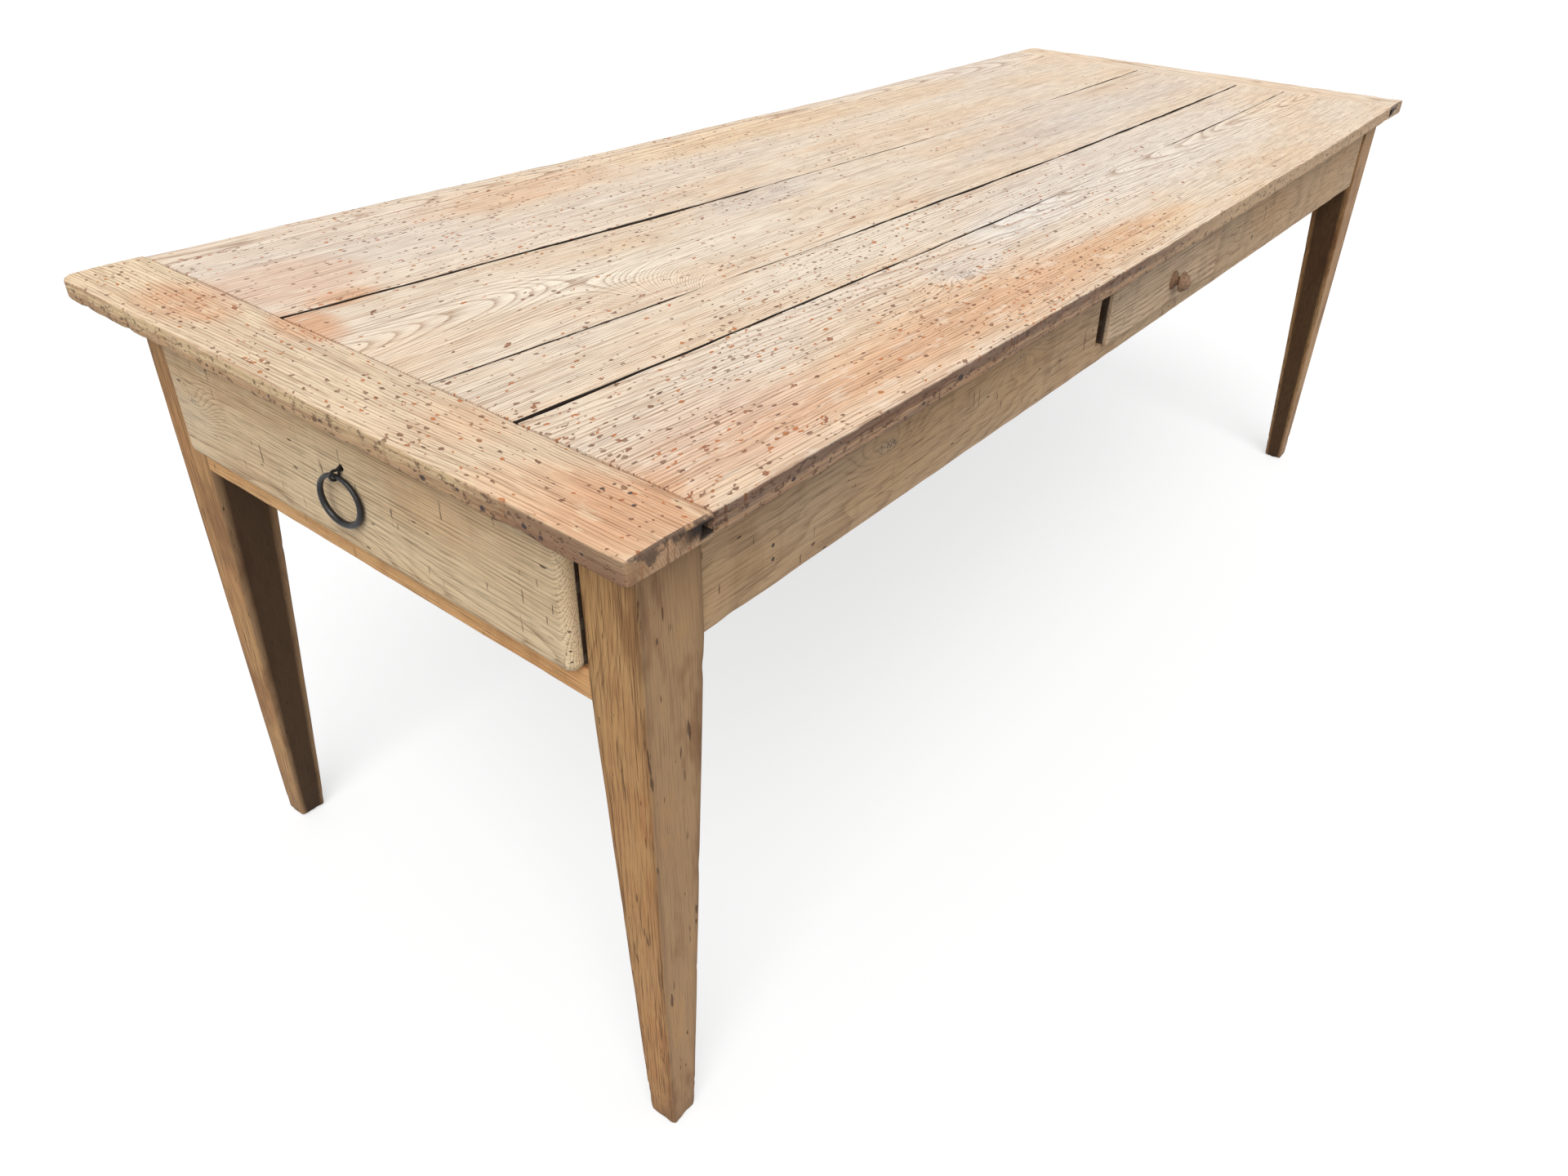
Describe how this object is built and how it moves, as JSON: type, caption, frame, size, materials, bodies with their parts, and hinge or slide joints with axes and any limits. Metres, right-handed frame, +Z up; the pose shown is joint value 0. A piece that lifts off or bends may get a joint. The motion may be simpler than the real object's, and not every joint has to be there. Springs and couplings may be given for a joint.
{
  "type": "farmhouse table",
  "caption": "Long plank-topped farmhouse table on tapered legs, with breadboard ends, a wide drawer with a ring pull in one end and a small drawer with a knob in one long side.",
  "frame": {"origin": "on the floor, at the middle of the tabletop's outline", "axes": "+Z up; X runs along the table, with the wide drawer in the -X end; the small drawer is in the -Y side"},
  "size_m": [2.03, 0.809, 0.76],
  "materials": {
    "scrubbed_oak": "scrubbed, bare, worn along the edges",
    "frame_oak": "old waxed surface, worn and stained",
    "drawer_oak": "old waxed surface, rounded by wear",
    "inner_oak": "unfinished, darkened by age",
    "turned_oak": "turned, old wax",
    "peg_oak": "riven, unfinished",
    "wrought_iron": "forged, dark, half matt"
  },
  "bodies": {
    "frame": {"apron_far": "frame_oak", "apron_near": "frame_oak", "apron_pegs": "peg_oak", "apron_right": "frame_oak", "bearer_nails": "wrought_iron", "breadboard_left": "scrubbed_oak", "breadboard_pegs_left": "peg_oak", "breadboard_pegs_right": "peg_oak", "breadboard_right": "scrubbed_oak", "cross_bearer_left": "inner_oak", "cross_bearer_middle": "inner_oak", "cross_bearer_right": "inner_oak", "end_apron_pegs": "peg_oak", "end_drawer_guide_far": "inner_oak", "end_drawer_guide_near": "inner_oak", "end_drawer_runner_far": "inner_oak", "end_drawer_runner_near": "inner_oak", "end_drawer_stop_far": "inner_oak", "end_drawer_stop_near": "inner_oak", "guide_nails_far": "wrought_iron", "guide_nails_near": "wrought_iron", "leg_far_left": "frame_oak", "leg_far_right": "frame_oak", "leg_near_left": "frame_oak", "leg_near_right": "frame_oak", "plank_far": "scrubbed_oak", "plank_far_middle": "scrubbed_oak", "plank_near": "scrubbed_oak", "plank_near_middle": "scrubbed_oak", "rail_left": "frame_oak", "rail_pegs": "peg_oak", "runner_nails_far": "wrought_iron", "runner_nails_near": "wrought_iron", "side_drawer_guide_left": "inner_oak", "side_drawer_guide_right": "inner_oak", "side_drawer_runner_left": "inner_oak", "side_drawer_runner_right": "inner_oak", "side_drawer_stop_left": "inner_oak", "side_drawer_stop_right": "inner_oak"},
    "end_drawer": {"end_drawer_back": "inner_oak", "end_drawer_bottom_front": "inner_oak", "end_drawer_bottom_rear": "inner_oak", "end_drawer_brads": "wrought_iron", "end_drawer_front": "drawer_oak", "end_drawer_side_far": "inner_oak", "end_drawer_side_near": "inner_oak", "ring_eye": "wrought_iron"},
    "pull_ring": {"pull_ring": "wrought_iron"},
    "side_drawer": {"side_drawer_back": "inner_oak", "side_drawer_bottom": "inner_oak", "side_drawer_brads": "wrought_iron", "side_drawer_front": "drawer_oak", "side_drawer_knob": "turned_oak", "side_drawer_side_left": "inner_oak", "side_drawer_side_right": "inner_oak"}
  },
  "joints": [
    {"name": "end_drawer_slide", "type": "slide", "parent": "frame", "child": "end_drawer", "axis": [-1, 0, 0], "range_m": [0, 0.36]},
    {"name": "side_drawer_slide", "type": "slide", "parent": "frame", "child": "side_drawer", "axis": [0, -1, 0], "range_m": [0, 0.29]},
    {"name": "ring_hinge", "type": "hinge", "parent": "end_drawer", "child": "pull_ring", "pos_m": [-0.9885, 0.001, 0.66733], "axis": [-0.1392, 0.9903, 0], "range_deg": [-1.5, 170]}
  ]
}
